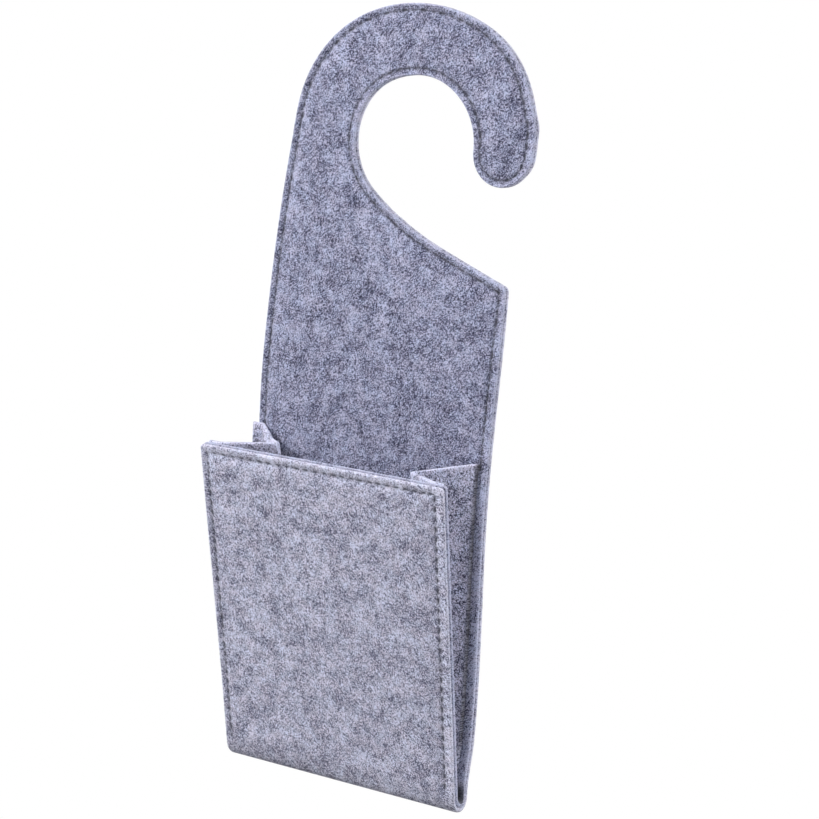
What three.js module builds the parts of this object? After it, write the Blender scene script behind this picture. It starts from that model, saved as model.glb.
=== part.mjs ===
// A felt pocket organizer that hangs on a doorknob: a back panel cut into an open hook, a pocket
// front turned up through a fold at the bottom, and two creased side gussets sewn between them.
// Millimetres, +Z up, +Y towards the door. The origin is where the top of the hook's hole bears
// on the knob.
import * as THREE from "three";

const degrees = Math.PI / 180;

// Felt and thread.
const feltThickness = 2.3;
const gussetThickness = 2.0;
const layerGap = 0.25;
const threadWidth = 0.8;
const threadHeight = 0.4;
const threadGap = 0.1;

// Back panel and hook. Heights are measured from the lowest point of the bottom fold.
const backWidth = 120;
const shoulderHeight = 233.2;
const shoulderSlope = 22.2 * degrees;
const shoulderRadius = 3;
const hookCentreX = 10;
const hookCentreHeight = 290.6;
const hookRadius = 60.2;
const tipAngle = -1 * degrees;
const holeCentreX = 11.2;
const holeCentreHeight = 290.6;
const holeRadius = 30.3;
const neckRadius = 110;
const flareRadius = 900;

// Pocket front, measured along the felt from the centre of the bottom fold. It overhangs the back
// by a little on each side.
const frontOverhang = 2.5;
const frontLength = 149;
const frontLean = 11.75 * degrees;
const widestOpening = 3 * degrees;
const rimCornerRadius = 1.5;

// Gussets: strips that taper from the rim to the fold's centre, with a pressed crease down the middle.
const gussetTopWidth = 52;
const gussetSeamInset = 5.4;
const gussetStart = 14;
const seamHingeGap = 0.4;
const creaseGap = 0.35;

// Lockstitched seams.
const seamInset = 4;
const frontSeamStart = 10;
const flangeSeamStart = 24;

// Facets.
const arcSegments = 13;
const cornerSegments = 2;
const foldSteps = 16;
const mergeDistance = 1e-2;

// Sizes that follow from those above. The fold's centre is where both seam planes meet.
const flangeOffset = gussetThickness + layerGap;
const plyPitch = feltThickness + layerGap;
const threadReach = threadGap + threadHeight;
const foldOuterRadius = flangeOffset + plyPitch + feltThickness;
const frontWidth = backWidth + 2 * frontOverhang;
const seamX = backWidth / 2 - gussetSeamInset;
const creaseAngle = Math.asin(gussetTopWidth / 2 / frontLength);
const gussetTurn = Math.acos(Math.tan(frontLean / 2) / Math.tan(creaseAngle));

const felt = new THREE.MeshStandardMaterial({ color: 0x9a9bac, roughness: 0.95, metalness: 0 });
const shadedFelt = new THREE.MeshStandardMaterial({ color: 0x8c8d9e, roughness: 0.95, metalness: 0 });
const thread = new THREE.MeshStandardMaterial({ color: 0x6f7080, roughness: 0.8, metalness: 0 });

const point = (x, height) => new THREE.Vector2(x, height - foldOuterRadius);
const towards = (angle) => new THREE.Vector2(Math.cos(angle), Math.sin(angle));

// The cut edge of the back panel, or a line at a distance inside it, from the right side round the
// hook to the left.
function backEdge(inset, fromZ) {
  const half = backWidth / 2 - inset;
  const shoulder = point(backWidth / 2, shoulderHeight);
  const hook = point(hookCentreX, hookCentreHeight);
  const hole = point(holeCentreX, holeCentreHeight);
  const path = new THREE.Path();
  path.moveTo(half, fromZ);

  // The shoulder: a small round corner, which is sharp on a line that runs inside its radius.
  const slopeNormal = Math.PI / 2 - shoulderSlope;
  const normal = towards(slopeNormal);
  const corner = Math.max(shoulderRadius, inset);
  const cornerZ = shoulder.y - (corner * (1 - normal.x)) / normal.y;
  path.lineTo(half, cornerZ);
  if (inset < shoulderRadius) {
    path.absarc(backWidth / 2 - corner, cornerZ, corner - inset, 0, slopeNormal, false);
  }

  // The neck: an arc that leaves the sloping shoulder and runs into the round hole.
  const reach = normal.dot(hole.clone().sub(shoulder));
  const neckTurn = slopeNormal - Math.acos((neckRadius - reach) / (neckRadius - holeRadius));
  const neck = hole.clone().addScaledVector(towards(neckTurn), neckRadius - holeRadius);
  path.absarc(neck.x, neck.y, neckRadius + inset, slopeNormal + Math.PI, neckTurn + Math.PI, true);

  // The hole and the round tip, which touches both the hole's circle and the hook's outer circle.
  const shift = hole.clone().sub(hook);
  const along = shift.dot(towards(tipAngle));
  const band = hookRadius ** 2 - holeRadius ** 2 + shift.lengthSq() - 2 * hookRadius * along;
  const tipRadius = band / (2 * (hookRadius + holeRadius - along));
  const tip = hook.clone().addScaledVector(towards(tipAngle), hookRadius - tipRadius);
  const tipTurn = Math.atan2(tip.y - hole.y, tip.x - hole.x);
  path.absarc(hole.x, hole.y, holeRadius + inset, neckTurn + Math.PI, tipTurn, true);
  path.absarc(tip.x, tip.y, tipRadius - inset, tipTurn + Math.PI, tipAngle + 2 * Math.PI, false);

  // The hook's outer circle, and the long flare that brings it to the left side, or as far down it
  // as the line goes.
  const flareX = flareRadius - backWidth / 2;
  const drop = Math.sqrt((flareRadius - hookRadius) ** 2 - (hook.x - flareX) ** 2);
  const flareTurn = Math.atan2(drop, hook.x - flareX);
  const rise = Math.max(0, fromZ - hook.y + drop);
  const flareEnd = Math.PI - Math.asin(rise / (flareRadius - inset));
  path.absarc(hook.x, hook.y, hookRadius - inset, tipAngle, flareTurn, false);
  path.absarc(flareX, hook.y - drop, flareRadius - inset, flareTurn, flareEnd, false);
  if (rise === 0) {
    path.lineTo(-half, fromZ);
  }
  return spaced(path.getPoints(arcSegments));
}

// Points with near doubles left out.
function spaced(points) {
  return points.filter((p, i) => i === 0 || p.distanceTo(points[i - 1]) > mergeDistance);
}

// An outline given a thickness.
function sheet(outline, thickness) {
  const cut = { depth: thickness, bevelEnabled: false };
  return new THREE.ExtrudeGeometry(new THREE.Shape(outline), cut);
}

// A flat piece cut to an outline in X and Z, with its rear face at rearY.
function slab(name, outline, rearY, thickness, material) {
  const geometry = sheet(outline, thickness);
  geometry.rotateX(Math.PI / 2);
  const mesh = new THREE.Mesh(geometry, material);
  mesh.name = name;
  mesh.position.y = rearY;
  return mesh;
}

function rectangle(left, right, bottom, top) {
  const corners = [
    [left, bottom],
    [right, bottom],
    [right, top],
    [left, top],
  ];
  return corners.map(([x, z]) => new THREE.Vector2(x, z));
}

// The pocket front: square at the fold, with slightly rounded corners at the rim.
function frontOutline() {
  const half = frontWidth / 2;
  const cornerX = half - rimCornerRadius;
  const cornerZ = frontLength - rimCornerRadius;
  const path = new THREE.Path();
  path.moveTo(-half, layerGap);
  path.lineTo(half, layerGap);
  path.lineTo(half, cornerZ);
  path.absarc(cornerX, cornerZ, rimCornerRadius, 0, Math.PI / 2, false);
  path.absarc(-cornerX, cornerZ, rimCornerRadius, Math.PI / 2, Math.PI, false);
  return spaced(path.getPoints(cornerSegments));
}

// One ply of the bottom fold, swept about the fold's centre and widening from the back to the front.
function foldPly(name, innerRadius, material) {
  const outerRadius = innerRadius + feltThickness;
  const sweep = Math.PI - frontLean - widestOpening;
  const positions = [];
  const triangles = [0, 1, 2, 0, 2, 3];
  for (let step = 0; step <= foldSteps; step++) {
    const share = step / foldSteps;
    const half = THREE.MathUtils.lerp(backWidth, frontWidth, share) / 2;
    const across = Math.cos(share * sweep);
    const down = -Math.sin(share * sweep);
    positions.push(half, innerRadius * across, innerRadius * down);
    positions.push(half, outerRadius * across, outerRadius * down);
    positions.push(-half, outerRadius * across, outerRadius * down);
    positions.push(-half, innerRadius * across, innerRadius * down);
    for (let corner = 0; corner < 4 && step > 0; corner++) {
      const a = 4 * (step - 1) + corner;
      const b = 4 * (step - 1) + ((corner + 1) % 4);
      triangles.push(a, b + 4, b, a, a + 4, b + 4);
    }
  }
  const end = 4 * foldSteps;
  triangles.push(end, end + 2, end + 1, end, end + 3, end + 2);
  const geometry = new THREE.BufferGeometry();
  geometry.setAttribute("position", new THREE.Float32BufferAttribute(positions, 3));
  geometry.setIndex(triangles);
  geometry.computeVertexNormals();
  const mesh = new THREE.Mesh(geometry, material);
  mesh.name = name;
  return mesh;
}

// Half a gusset, from its sewn seam to the crease. Its outer face holds both lines, and its thickness
// lies on the pocket's inner side. side is 1 on the right and -1 on the left; end is 1 on the back
// and -1 on the front.
function gussetHalf(name, side, end) {
  const across = towards(-creaseAngle);
  const rim = new THREE.Vector2(0, frontLength);
  const creaseRim = rim.clone().addScaledVector(across, gussetTopWidth / 2 - creaseGap);
  const seamRim = rim.clone().addScaledVector(across, seamHingeGap / across.x);
  const creaseFoot = gussetStart * Math.tan(creaseAngle) - creaseGap / across.x;
  const outline = [
    new THREE.Vector2(seamHingeGap, gussetStart),
    new THREE.Vector2(creaseFoot, gussetStart),
    creaseRim,
    seamRim,
  ];
  const geometry = sheet(outline, gussetThickness);
  geometry.translate(0, 0, side * end > 0 ? 0 : -gussetThickness);
  const inward = new THREE.Vector3(-side * Math.sin(gussetTurn), -end * Math.cos(gussetTurn), 0);
  const up = new THREE.Vector3(0, 0, 1);
  const basis = new THREE.Matrix4().makeBasis(inward, up, inward.clone().cross(up));
  const mesh = new THREE.Mesh(geometry, shadedFelt);
  mesh.name = name;
  mesh.quaternion.setFromRotationMatrix(basis);
  mesh.position.x = side * seamX;
  return mesh;
}

// A gusset's sewn flange, flush with the edge of the panel that it lies on.
function flange(name, side, edgeX, rearY) {
  const inner = seamX + seamHingeGap;
  const outline = rectangle(inner, edgeX, gussetStart, frontLength);
  const mirrored = outline.map((p) => new THREE.Vector2(side * p.x, p.y));
  return slab(name, side > 0 ? mirrored : mirrored.reverse(), rearY, gussetThickness, shadedFelt);
}

// A run of thread on a face: the strip between two lines, one on each side of the seam.
function threadRun(name, outerLine, innerLine, rearY) {
  return slab(name, [...outerLine, ...innerLine.slice().reverse()], rearY, threadHeight, thread);
}

// A line up one side of the pocket front, along the rim and down the other side.
function frontLine(inset) {
  const half = frontWidth / 2 - inset;
  const outline = rectangle(-half, half, frontSeamStart, frontLength - inset);
  return [outline[1], outline[2], outline[3], outline[0]];
}

function straightThread(name, x, rearY) {
  const left = x - threadWidth / 2;
  const outline = rectangle(left, left + threadWidth, flangeSeamStart, frontLength - seamInset);
  return slab(name, outline, rearY, threadHeight, thread);
}

// Back: two plies standing on the fold, with their seam on the front above the pocket.
const organizer = new THREE.Group();
const backOutline = backEdge(0, layerGap);
const backFront = flangeOffset;
const backRear = foldOuterRadius;
organizer.add(slab("back_front_ply", backOutline, backFront + feltThickness, feltThickness, felt));
organizer.add(slab("back_rear_ply", backOutline, backRear, feltThickness, felt));
organizer.add(foldPly("fold_inner_ply", flangeOffset, felt));
organizer.add(foldPly("fold_outer_ply", flangeOffset + plyPitch, felt));
const hookSeamStart = frontLength + layerGap;
const hookOuterLine = backEdge(seamInset - threadWidth / 2, hookSeamStart);
const hookInnerLine = backEdge(seamInset + threadWidth / 2, hookSeamStart);
organizer.add(threadRun("hook_seam_front", hookOuterLine, hookInnerLine, backFront - threadGap));

// Pocket front: two plies leaning out from the fold's centre, with the inner ply towards the back.
const pocketFront = new THREE.Group();
pocketFront.rotation.x = frontLean;
organizer.add(pocketFront);
const frontInner = -flangeOffset;
const frontOuter = -foldOuterRadius;
pocketFront.add(slab("front_inner_ply", frontOutline(), frontInner, feltThickness, felt));
pocketFront.add(slab("front_outer_ply", frontOutline(), frontOuter + feltThickness, feltThickness, felt));
const frontOuterLine = frontLine(seamInset - threadWidth / 2);
const frontInnerLine = frontLine(seamInset + threadWidth / 2);
const frontThreadY = frontOuter - threadGap;
pocketFront.add(threadRun("front_seam_outer", frontOuterLine, frontInnerLine, frontThreadY));
const rimEnd = seamX - seamInset;
const rimTop = frontLength - seamInset + threadWidth / 2;
const rimLine = rectangle(-rimEnd, rimEnd, rimTop - threadWidth, rimTop);
const rimThreadY = frontInner + threadReach;
pocketFront.add(slab("front_rim_seam_inner", rimLine, rimThreadY, threadHeight, thread));

// Gussets, left and right, each sewn to the back and to the pocket front by a flange.
for (const [label, side] of [["left", -1], ["right", 1]]) {
  const flangeThreadX = side * (backWidth / 2 - seamInset + seamHingeGap);
  organizer.add(flange("rear_flange_" + label, side, backWidth / 2, gussetThickness));
  organizer.add(straightThread("rear_flange_seam_" + label, flangeThreadX, -threadGap));
  organizer.add(gussetHalf("gusset_rear_half_" + label, side, 1));
  pocketFront.add(flange("front_flange_" + label, side, frontWidth / 2, 0));
  pocketFront.add(straightThread("front_flange_seam_" + label, flangeThreadX, threadReach));
  pocketFront.add(gussetHalf("gusset_front_half_" + label, side, -1));
}

// The origin: the highest point of the hole, midway through the back.
const part = new THREE.Group();
const seat = point(holeCentreX, holeCentreHeight + holeRadius);
organizer.position.set(-seat.x, -(backFront + backRear) / 2, -seat.y);
part.add(organizer);

export default part;
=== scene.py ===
# %% [markdown]
# # A felt organizer that hangs on a doorknob
#
# The real object is sewn from stiff heather-grey needle felt. Two long strips lie on each other
# as an outer and an inner ply. Both are cut into an open hook at the top, hang straight down as
# the back, turn round a fold at the bottom and come up again as the pocket's front. A creased
# strip of thinner felt, a gusset, joins front and back on each side.
#
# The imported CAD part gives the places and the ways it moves. Its felt solids are plain, so this
# lesson cuts the felt again as flat patterns, with soft edges and sewn grooves, and folds it as a
# sewer would.

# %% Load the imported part
import math

import bmesh
import bpy
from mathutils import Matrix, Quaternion, Vector
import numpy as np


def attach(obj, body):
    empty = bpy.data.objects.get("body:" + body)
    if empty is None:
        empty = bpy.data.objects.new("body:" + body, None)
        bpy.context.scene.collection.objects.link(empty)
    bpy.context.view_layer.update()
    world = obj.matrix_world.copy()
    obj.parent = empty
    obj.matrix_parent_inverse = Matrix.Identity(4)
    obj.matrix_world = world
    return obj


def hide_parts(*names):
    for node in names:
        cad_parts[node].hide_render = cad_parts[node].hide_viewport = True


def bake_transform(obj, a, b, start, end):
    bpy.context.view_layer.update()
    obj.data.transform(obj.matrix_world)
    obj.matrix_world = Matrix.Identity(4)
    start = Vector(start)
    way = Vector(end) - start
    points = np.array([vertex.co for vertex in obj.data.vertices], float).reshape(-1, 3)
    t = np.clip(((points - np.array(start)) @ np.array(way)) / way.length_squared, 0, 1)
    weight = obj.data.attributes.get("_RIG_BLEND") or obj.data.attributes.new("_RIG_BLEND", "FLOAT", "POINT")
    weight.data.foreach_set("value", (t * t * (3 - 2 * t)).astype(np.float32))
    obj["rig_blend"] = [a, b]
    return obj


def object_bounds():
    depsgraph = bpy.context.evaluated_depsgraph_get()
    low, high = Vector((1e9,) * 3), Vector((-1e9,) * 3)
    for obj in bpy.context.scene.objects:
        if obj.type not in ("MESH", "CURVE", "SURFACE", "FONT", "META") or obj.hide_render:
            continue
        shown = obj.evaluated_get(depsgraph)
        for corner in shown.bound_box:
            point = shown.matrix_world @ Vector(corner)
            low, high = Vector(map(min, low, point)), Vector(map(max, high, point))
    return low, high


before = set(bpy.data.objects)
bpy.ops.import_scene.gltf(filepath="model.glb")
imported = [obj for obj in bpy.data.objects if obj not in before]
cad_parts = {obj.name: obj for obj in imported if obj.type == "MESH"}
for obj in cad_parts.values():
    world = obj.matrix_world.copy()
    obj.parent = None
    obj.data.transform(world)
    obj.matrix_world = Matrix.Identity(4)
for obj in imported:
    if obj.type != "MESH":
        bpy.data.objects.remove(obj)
cad_low, cad_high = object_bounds()
MM = 0.001
print("CAD box in mm:", [round((b - a) / MM, 1) for a, b in zip(cad_low, cad_high)])

# %% [markdown]
# ## The flat pattern
#
# All sizes are in millimetres. A place on a ply is given as it lies flat on the cutting table: x
# across, and t along the strip. t is 0 where the fold begins, grows up the back, and is negative
# round the fold and up the front. n is the depth through the felt, positive on the side that ends
# outside. The felt could be shaped where it hangs, but on a flat pattern the edge, the seam and
# the grain are easier to lay out, and all of them go round the fold together.

# %% Sizes of the pattern
FOLD_CENTRE = Vector((-11.2, -4.675, -313.8))
FELT = 2.3
GUSSET_FELT = 2.0
OUTER_RADIUS = 5.95
INNER_RADIUS = 3.4
BACK_HALF = 60.0
FRONT_HALF = 62.5
FRONT_LENGTH = 149.0
LEAN = math.radians(11.75)
OUTER_WRAP = OUTER_RADIUS * (math.pi - LEAN)
INNER_WRAP = INNER_RADIUS * (math.pi - LEAN)
print("felt round the fold:", round(OUTER_WRAP, 1), "outside,", round(INNER_WRAP, 1), "inside")

# %% [markdown]
# ## The cut line
#
# The cut edge is made of straight runs and arcs that meet smoothly: shoulder, neck, hole, round
# tip, the hook's outer circle and a long flare. A few arcs are given, and the others follow
# because they have to touch. Neck and hole touch, the tip touches hole and hook, and the flare
# runs from the hook into the straight left edge. A free curve could follow the edge too, but arcs
# that touch stay smooth when a size changes.

# %% Where the arcs meet
SHOULDER = Vector((BACK_HALF, 226.1))
SHOULDER_RADIUS = 3.0
SLOPE_TURN = math.pi / 2 - math.radians(22.2)
HOOK = Vector((10.0, 283.5))
HOOK_RADIUS = 60.2
HOLE = Vector((11.2, 283.5))
HOLE_RADIUS = 30.3
TIP_TURN = math.radians(-1)
NECK_RADIUS = 110.0
FLARE_RADIUS = 900.0


def towards(turn):
    return Vector((math.cos(turn), math.sin(turn)))


slope = towards(SLOPE_TURN)
neck_gap = NECK_RADIUS - HOLE_RADIUS
neck_turn = SLOPE_TURN - math.acos((NECK_RADIUS - slope.dot(HOLE - SHOULDER)) / neck_gap)
neck = HOLE + neck_gap * towards(neck_turn)
neck_start = SLOPE_TURN + math.pi
slope_length = (neck + NECK_RADIUS * towards(neck_start) - SHOULDER).length
shift = HOLE - HOOK
along = shift.dot(towards(TIP_TURN))
band = HOOK_RADIUS**2 - HOLE_RADIUS**2 + shift.length_squared - 2 * HOOK_RADIUS * along
tip_radius = band / (2 * (HOOK_RADIUS + HOLE_RADIUS - along))
tip = HOOK + (HOOK_RADIUS - tip_radius) * towards(TIP_TURN)
tip_turn = math.atan2(tip.y - HOLE.y, tip.x - HOLE.x)
flare_x = FLARE_RADIUS - BACK_HALF
flare_drop = math.sqrt((FLARE_RADIUS - HOOK_RADIUS) ** 2 - (HOOK.x - flare_x) ** 2)
flare = Vector((flare_x, HOOK.y - flare_drop))
flare_turn = math.atan2(flare_drop, HOOK.x - flare_x)
print("tip radius", round(tip_radius, 1), "and flare from", round(flare.y), "mm up")

# %% [markdown]
# ## The line at a distance from the edge
#
# Drawn at a distance inside the edge, the same line gives the places where the felt rounds off
# and where the seam runs. Each line has the same number of points, so that lines next to each
# other can be joined by faces.

# %% Draw the cut line
STEP = 0.9
RIM_CORNER = 1.5


def straight(points, end, length):
    count = max(1, round(length / STEP))
    start = points[-1].copy()
    points += [start.lerp(end, i / count) for i in range(1, count + 1)]


def curve(points, centre, radius, start, stop, cut_radius):
    count = max(3, round(cut_radius * abs(stop - start) / STEP))
    turns = [start + (stop - start) * i / count for i in range(1, count + 1)]
    points += [centre + radius * towards(turn) for turn in turns]


def cut_line(inset, wrap):
    half = BACK_HALF - inset
    front = FRONT_HALF - inset
    rim = -wrap - FRONT_LENGTH
    corner = max(SHOULDER_RADIUS, inset)
    corner_t = SHOULDER.y - corner * (1 - slope.x) / slope.y
    shoulder = Vector((BACK_HALF - corner, corner_t))
    points = [Vector((half, 0))]
    straight(points, Vector((half, corner_t)), SHOULDER.y)
    curve(points, shoulder, corner - inset, 0, SLOPE_TURN, SHOULDER_RADIUS)
    straight(points, neck + (NECK_RADIUS + inset) * towards(neck_start), slope_length)
    curve(points, neck, NECK_RADIUS + inset, neck_start, neck_turn + math.pi, NECK_RADIUS)
    curve(points, HOLE, HOLE_RADIUS + inset, neck_turn + math.pi, tip_turn, HOLE_RADIUS)
    curve(points, tip, tip_radius - inset, tip_turn + math.pi, TIP_TURN + 2 * math.pi, tip_radius)
    curve(points, HOOK, HOOK_RADIUS - inset, TIP_TURN, flare_turn, HOOK_RADIUS)
    curve(points, flare, FLARE_RADIUS - inset, flare_turn, math.pi, FLARE_RADIUS)
    straight(points, Vector((-half, 0)), flare.y)
    straight(points, Vector((-front, -wrap)), wrap)
    corner = max(RIM_CORNER, inset)
    left = Vector((corner - FRONT_HALF, rim + corner))
    right = Vector((FRONT_HALF - corner, rim + corner))
    straight(points, Vector((-front, left.y)), FRONT_LENGTH)
    curve(points, left, corner - inset, math.pi, 1.5 * math.pi, RIM_CORNER)
    straight(points, Vector((right.x, rim + inset)), 2 * FRONT_HALF)
    curve(points, right, corner - inset, 1.5 * math.pi, 2 * math.pi, RIM_CORNER)
    straight(points, Vector((front, -wrap)), FRONT_LENGTH)
    straight(points, Vector((half, 0)), wrap)
    points.pop()
    return points


def flat_area(points):
    pairs = zip(points, points[1:] + points[:1])
    return abs(sum(a.x * b.y - b.x * a.y for a, b in pairs)) / 2


outer_cut = cut_line(0, OUTER_WRAP)
inner_cut = cut_line(0, INNER_WRAP)
print("cut line:", len(outer_cut), "points, area", round(flat_area(outer_cut) / 100), "square cm")

# %% [markdown]
# ## The seam
#
# A lockstitched seam runs about 3 mm inside the edge. One seam goes up the right of the back,
# round the hook and down the left. Another goes up one side of the front, along its rim and down
# the other. For each point of a seam the number of stitches sewn so far is kept, because the felt
# is pulled in by each stitch and closes up again between two.

# %% Where the needle went in
SEAM_INSET = 3.0
STITCH_PITCH = 4.7
SEAM_START = 1.0
SEAM_FADE = 3.0


def seam_runs(wrap):
    line = cut_line(SEAM_INSET, wrap)
    back = [i for i, p in enumerate(line) if p.y >= SEAM_START]
    front = [i for i, p in enumerate(line) if p.y <= -wrap - SEAM_START]
    return line, [back, front]


def walked(points):
    """The way gone so far at each point of a line."""
    walk = [0.0]
    for a, b in zip(points, points[1:]):
        walk.append(walk[-1] + (b - a).length)
    return walk


def seam_phase(wrap):
    """For each seam point: stitches sewn so far, and a share that fades at the seam's two ends."""
    line, runs = seam_runs(wrap)
    phase = {}
    for run in runs:
        walk = walked([line[i] for i in run])
        for i, travelled in zip(run, walk):
            end = min(travelled, walk[-1] - travelled)
            phase[i] = (travelled / STITCH_PITCH, min(1, end / SEAM_FADE))
    return line, phase


seam_line, outer_phase = seam_phase(OUTER_WRAP)
print("seam points:", len(outer_phase), "of", len(seam_line))

# %% [markdown]
# ## Worn felt
#
# Felt that was cut, sewn and hung is never as straight as its pattern. The right edge of the back
# waves, the hook and its hole are out of round, the tip sags, and the tight seam has crept
# inwards. The places are heights on the back, or degrees round the hook's centre, with 0 to the
# right. Every drift is a smooth bump, so that the felt beside it moves along.

# %% Smooth shares
SEAM_CREEP_END = 9.0


def eased(value):
    value = min(1, max(0, value))
    return value * value * (3 - 2 * value)


def bump(value, centre, width):
    return math.exp(-(((value - centre) / width) ** 2))


def seam_share(inset):
    """1 on the seam line, fading to 0 at the edge and again further in."""
    return eased(inset / SEAM_INSET) * (1 - eased((inset - SEAM_INSET) / SEAM_CREEP_END))


print("creep of the seam:", [round(seam_share(inset), 2) for inset in (0, 1.5, 3, 6, 12)])

# %% How far the back has moved in its own plane
WAVE_MEAN, WAVE_HEIGHT, WAVE_CREST, WAVE_LENGTH = 0.45, 1.2, 38, 190
WAVE_START, WAVE_END, WAVE_FADE = 25, 226, 22
BACK_CREEP, CREEP_END, CREEP_FADE = 0.7, 200, 20
LEFT_SWELL, SWELL_HEIGHT, SWELL_WIDTH = 0.6, 172, 30
HOOK_FOOT = 240
# Bulges round the hook: millimetres, the turn in degrees, and how far they spread.
HOOK_BULGES = [(2.0, 42, 22), (-0.6, 97, 24), (0.6, 11, 4), (0.6, 145, 28)]
HOOK_CREEP, CREEP_TURN, CREEP_SPREAD = 0.9, 15, 35
HOLE_FOOT = 250
HOLE_NEAR, HOLE_FAR, HOLE_EASE = 20, 60, 20
NECK_SHRINK, HOLE_SHRINK, CROWN_SHRINK = 0.7, 0.5, (0.8, 98, 24)
TIP_SAG, TIP_TOP, TIP_DROP, TIP_START, TIP_EASE = 1.0, 296, 22, 36, 16


def edge_drift(x, z):
    if x <= 0:
        return x / BACK_HALF * LEFT_SWELL * bump(z, SWELL_HEIGHT, SWELL_WIDTH)
    wave = WAVE_MEAN + WAVE_HEIGHT * math.cos(2 * math.pi * (z - WAVE_CREST) / WAVE_LENGTH)
    wave *= eased(z / WAVE_START) * (1 - eased((z - WAVE_END) / WAVE_FADE))
    creep = BACK_CREEP * seam_share(BACK_HALF - x) * (1 - eased((z - CREEP_END) / CREEP_FADE))
    return (x / BACK_HALF) ** 2 * wave - creep


def back_drift(x, z):
    move = Vector((edge_drift(x, z), 0))
    arm = Vector((x, z)) - HOOK
    turn = math.degrees(math.atan2(arm.y, arm.x))
    if z > HOOK_FOOT and arm.length > HOLE_RADIUS:
        bulge = sum(height * bump(turn, at, width) for height, at, width in HOOK_BULGES)
        bulge *= min(1, (arm.length - HOLE_RADIUS) / HOLE_RADIUS)
        creep = seam_share(HOOK_RADIUS - arm.length) * bump(turn, CREEP_TURN, CREEP_SPREAD)
        move += arm.normalized() * (bulge - HOOK_CREEP * creep)
    spoke = HOLE - Vector((x, z))
    if HOLE_NEAR < spoke.length < HOLE_FAR:
        height, at, width = CROWN_SHRINK
        shrink = HOLE_SHRINK + height * bump(turn, at, width) if z > HOLE_FOOT else NECK_SHRINK
        shrink *= 1 - eased((spoke.length - HOLE_RADIUS) / HOLE_EASE)
        move += spoke.normalized() * shrink * eased((BACK_HALF - x) / (BACK_HALF / 2))
    if x > BACK_HALF / 2 and z > HOLE_FOOT:
        move.x -= TIP_SAG * eased((TIP_TOP - z) / TIP_DROP) * eased((x - TIP_START) / TIP_EASE)
    return move


print("the right edge at mid height moved by", round(back_drift(BACK_HALF, 110).x, 2), "mm")

# %% How far the front has moved
LEFT_FOOT, LEFT_TAPER = 1.0, 2.6
RIGHT_SHRINK, FRONT_CREEP = 2.0, 1.8


def front_drift(x, up):
    share = abs(x) / FRONT_HALF
    if x < 0:
        return share * (LEFT_FOOT - LEFT_TAPER * up / FRONT_LENGTH)
    return -RIGHT_SHRINK * share - FRONT_CREEP * seam_share(FRONT_HALF - x)


print("the front's right edge moved by", round(front_drift(FRONT_HALF, 0), 2), "mm")

# %% [markdown]
# ## Folding
#
# One function takes a flat place to its place on the hanging part. The back stands upright, the
# fold is an arc about the fold's centre, and the front leans out by the pocket's angle. A Simple
# Deform modifier could bend the strip, but here only the fold bends and each ply keeps its own
# radius. Stiff felt is never quite flat, so both panels sway by a few tenths of a millimetre.

# %% From the cutting table to the part
SWAY, SWAY_UP, SWAY_ACROSS, SWAY_START = 0.3, 31, 26, 30
UP_SHIFT, ACROSS_SHIFT = 0.4, 1.1
RIM_SLIP, SLIP_START, SLIP_EASE = 0.6, 134, 12


def sway(x, z):
    wave = SWAY * math.sin(z / SWAY_UP + UP_SHIFT) * math.sin(x / SWAY_ACROSS + ACROSS_SHIFT)
    return wave * min(1, abs(z) / SWAY_START)


def on_panel(x, depth, up, end):
    """A place on the back (end 1) or the front (end -1), depth outward from the seam plane."""
    if end > 0:
        move = back_drift(x, up)
        return Vector((x + move.x, depth + sway(x, up), up + move.y))
    out = -depth - sway(x, up)
    past_seam = eased((up - FRONT_LENGTH + SEAM_INSET) / SEAM_INSET)
    up -= RIM_SLIP * eased((up - SLIP_START) / SLIP_EASE) * (1 - past_seam)
    y = out * math.cos(LEAN) - up * math.sin(LEAN)
    z = out * math.sin(LEAN) + up * math.cos(LEAN)
    return Vector((x + front_drift(x, up), y, z))


def folded(x, t, n, radius, wrap):
    if t >= 0:
        spot = on_panel(x, radius + n, t, 1)
    elif t > -wrap:
        swell = max(0, x / BACK_HALF) ** 2 * math.sin(-math.pi * t / wrap)
        turn = t / radius
        spot = Vector((x + front_drift(x, 0) * -t / wrap + swell, 0, 0))
        spot.y = (radius + n) * math.cos(turn)
        spot.z = (radius + n) * math.sin(turn)
    else:
        spot = on_panel(x, radius + n, -t - wrap, -1)
    return (FOLD_CENTRE + spot) * MM


rim_middle = folded(0, -OUTER_WRAP - FRONT_LENGTH, 0, OUTER_RADIUS, OUTER_WRAP)
print("the rim's middle:", [round(c / MM, 1) for c in rim_middle])

# %% [markdown]
# ## The groove and its marks
#
# Thread pulled tight draws both plies together, so the seam lies in a wide groove: the margin
# outside it tips inwards, and the felt inside it swells slowly to its full thickness. Shade is
# painted into the felt: in the groove, deep in the fold and in the gap between the plies. Light is
# painted too, as pale highlights on cut edges, on the rim and on some margins. Both marks are
# kept as values on the points, and the felt's finish reads them later.

# %% What the seam does to the felt
GROOVE_DEPTH = 1.3
GROOVE_WIDTH = 2.6
PINCH_WIDTH = 0.6
DASH_LEVEL, DASH_SWING, DASH_SOFT = 0.26, 0.55, 0.45
STEADY_OUTER, STEADY_INNER = 0.35, 0.6
UNEVEN, UNEVEN_STEP, UNEVEN_POWER = 0.18, 2.3, 1.4
LOOSE_PULL = 0.65


def groove(inset):
    """Share of the groove's depth: the margin tips in, the felt inside swells slowly."""
    if inset < SEAM_INSET:
        return max(0, 1 - (SEAM_INSET - inset) / GROOVE_WIDTH)
    return math.exp((SEAM_INSET - inset) / GROOVE_WIDTH)


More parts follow.
